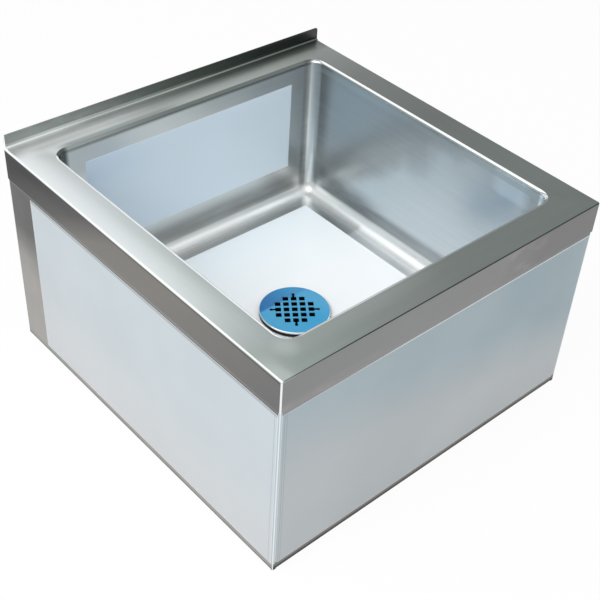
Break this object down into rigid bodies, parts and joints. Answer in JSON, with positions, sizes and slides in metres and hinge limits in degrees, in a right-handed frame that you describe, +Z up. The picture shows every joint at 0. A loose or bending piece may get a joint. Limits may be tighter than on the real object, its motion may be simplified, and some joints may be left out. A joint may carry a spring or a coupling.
{
  "type": "mop sink",
  "caption": "Floor-standing square mop sink with a deep coved bowl, folded steel deck and skirt, wall upstand, waste with lift-off strainer, and protective film.",
  "frame": {"origin": "on the ground under the middle of the sink's footprint", "axes": "+X to the right along the front, -Y to the front where a person stands, +Y to the wall, +Z up"},
  "size_m": [0.694, 0.712, 0.431],
  "materials": {
    "deck_steel": "brushed",
    "bowl_steel": "brushed and ground",
    "skirt_steel": "brushed",
    "frame_steel": "mill finish",
    "waste_steel": "satin",
    "seat_rubber": "matt",
    "nylon": "matt",
    "nut_metal": "plated, satin",
    "strainer_steel": "punched sheet, satin",
    "blue_film": "glossy",
    "skirt_film": "satin",
    "bowl_film": "satin"
  },
  "bodies": {
    "sink": {"top_deck": "deck_steel", "bowl": "bowl_steel", "skirt_front": "skirt_steel", "skirt_left": "skirt_steel", "skirt_right": "skirt_steel", "skirt_back": "skirt_steel", "corner_post_front_left": "frame_steel", "corner_post_front_right": "frame_steel", "corner_post_back_left": "frame_steel", "corner_post_back_right": "frame_steel", "bowl_channel_front": "frame_steel", "bowl_channel_back": "frame_steel", "seat_rubber": "seat_rubber", "waste_body": "waste_steel", "under_rubber_washer": "seat_rubber", "slip_washer": "nylon", "locknut": "nut_metal", "tail_washer": "nylon", "tailpiece": "waste_steel", "coupling_nut": "nut_metal", "film_front": "skirt_film", "film_left": "skirt_film", "film_right": "skirt_film", "film_bowl_back": "bowl_film", "film_bowl_floor": "bowl_film"},
    "lift_off_strainer": {"strainer": "strainer_steel", "strainer_film": "blue_film"}
  },
  "joints": [
    {"name": "strainer_lift", "type": "slide", "parent": "sink", "child": "lift_off_strainer", "axis": [0, 0, 1], "range_m": [0, 0.3]}
  ]
}
